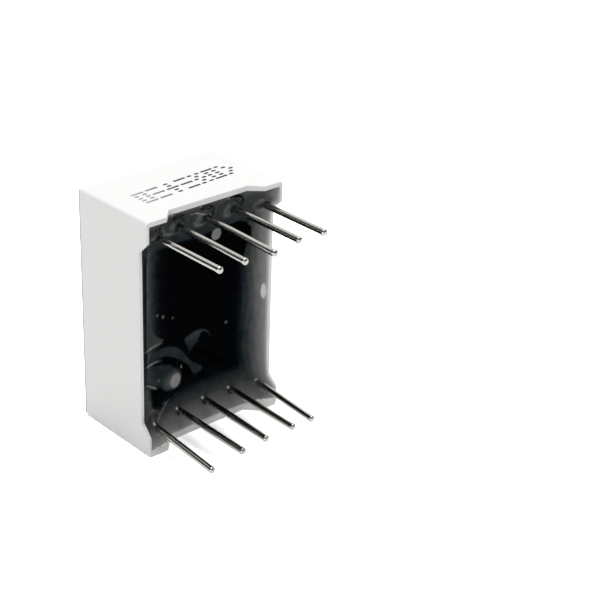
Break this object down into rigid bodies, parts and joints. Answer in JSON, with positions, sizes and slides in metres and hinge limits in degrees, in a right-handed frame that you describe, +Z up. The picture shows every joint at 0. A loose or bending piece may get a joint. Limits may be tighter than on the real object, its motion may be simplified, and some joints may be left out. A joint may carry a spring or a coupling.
{
  "type": "seven segment display",
  "caption": "Single-digit seven segment display: pale moulded case standing on its end, black potted back and two rows of tinned round pins.",
  "frame": {"origin": "middle of the end face that it stands on, below the digit's foot", "axes": "+X to the right as the digit is read, +Y from the face to the pins, +Z up the digit"},
  "size_m": [0.0126, 0.0141, 0.019],
  "materials": {
    "case_plastic": "moulded, fine satin",
    "face_ink": "printed black ink, satin",
    "black_epoxy": "cast, glossy",
    "board_laminate": "glass laminate",
    "copper": "etched copper",
    "solder": "reflowed solder",
    "tinned_wire": "dip-tinned, slightly uneven",
    "milky_epoxy": "milky, satin",
    "die_crystal": "sawn crystal",
    "gold_wire": "drawn wire"
  },
  "bodies": {
    "root": {"case": "case_plastic", "face_ink": "face_ink", "potting": "black_epoxy", "board": "board_laminate", "copper_tracks": "copper", "solder_joints": "solder", "pin_1": "tinned_wire", "pin_2": "tinned_wire", "pin_3": "tinned_wire", "pin_4": "tinned_wire", "pin_5": "tinned_wire", "pin_6": "tinned_wire", "pin_7": "tinned_wire", "pin_8": "tinned_wire", "pin_9": "tinned_wire", "pin_10": "tinned_wire", "window_a": "milky_epoxy", "window_b": "milky_epoxy", "window_c": "milky_epoxy", "window_d": "milky_epoxy", "window_e": "milky_epoxy", "window_f": "milky_epoxy", "window_g": "milky_epoxy", "window_dp": "milky_epoxy", "die_a": "die_crystal", "die_b": "die_crystal", "die_c": "die_crystal", "die_d": "die_crystal", "die_e": "die_crystal", "die_f": "die_crystal", "die_g": "die_crystal", "die_dp": "die_crystal", "wire_a": "gold_wire", "wire_b": "gold_wire", "wire_c": "gold_wire", "wire_d": "gold_wire", "wire_e": "gold_wire", "wire_f": "gold_wire", "wire_g": "gold_wire", "wire_dp": "gold_wire"}
  },
  "joints": []
}
